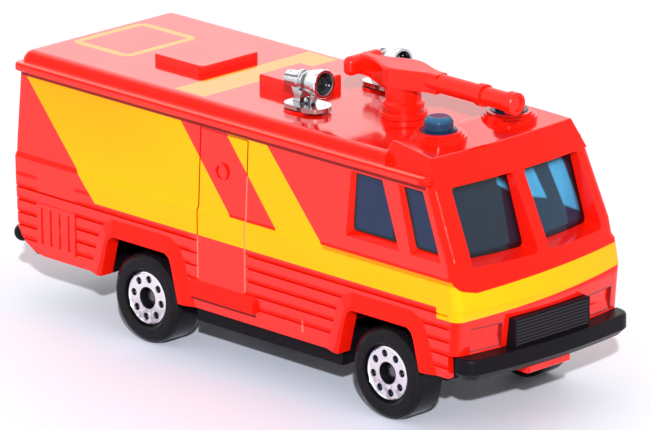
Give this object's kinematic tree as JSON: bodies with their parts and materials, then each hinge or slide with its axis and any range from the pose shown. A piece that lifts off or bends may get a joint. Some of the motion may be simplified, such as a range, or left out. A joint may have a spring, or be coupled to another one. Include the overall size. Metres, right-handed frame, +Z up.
{
  "type": "toy airport fire truck",
  "caption": "Small die-cast toy of an airport fire truck with a swivelling roof foam cannon, floodlights, beacons and free-running wheels.",
  "frame": {"origin": "on the floor under the centre of the truck's length and width", "axes": "+X forward, +Y to the truck's left, +Z up"},
  "size_m": [0.0821, 0.0292, 0.0397],
  "materials": {
    "red_paint": "gloss enamel with printed yellow stripes",
    "tinted_window": "blue tinted clear plastic",
    "black_plastic": "semi-matt moulded plastic",
    "axle_steel": "drawn wire",
    "wheel_plastic": "moulded plastic with a foil face",
    "red_plastic": "moulded plastic",
    "plated_plastic": "vacuum plated"
  },
  "bodies": {
    "truck": {"body_shell": "red_paint", "glazing": "tinted_window", "base_plate": "black_plastic", "front_axle": "axle_steel", "rear_axle": "axle_steel", "floodlight_right": "plated_plastic", "floodlight_left": "plated_plastic"},
    "wheel_front_right": {"wheel_front_right": "wheel_plastic"},
    "wheel_front_left": {"wheel_front_left": "wheel_plastic"},
    "wheel_rear_right": {"wheel_rear_right": "wheel_plastic"},
    "wheel_rear_left": {"wheel_rear_left": "wheel_plastic"},
    "monitor": {"monitor": "red_plastic"}
  },
  "joints": [
    {"name": "wheel_front_right_spin", "type": "hinge", "parent": "truck", "child": "wheel_front_right", "pos_m": [0.0251, -0.0113, 0.0057], "axis": [0, 1, 0], "continuous": true},
    {"name": "wheel_front_left_spin", "type": "hinge", "parent": "truck", "child": "wheel_front_left", "pos_m": [0.0251, 0.0113, 0.0057], "axis": [0, 1, 0], "continuous": true},
    {"name": "wheel_rear_right_spin", "type": "hinge", "parent": "truck", "child": "wheel_rear_right", "pos_m": [-0.0169, -0.0113, 0.0057], "axis": [0, 1, 0], "continuous": true},
    {"name": "wheel_rear_left_spin", "type": "hinge", "parent": "truck", "child": "wheel_rear_left", "pos_m": [-0.0169, 0.0113, 0.0057], "axis": [0, 1, 0], "continuous": true},
    {"name": "monitor_swivel", "type": "hinge", "parent": "truck", "child": "monitor", "pos_m": [0.01485, 0, 0.033], "axis": [0, 0, 1], "range_deg": [-115, 115]}
  ]
}
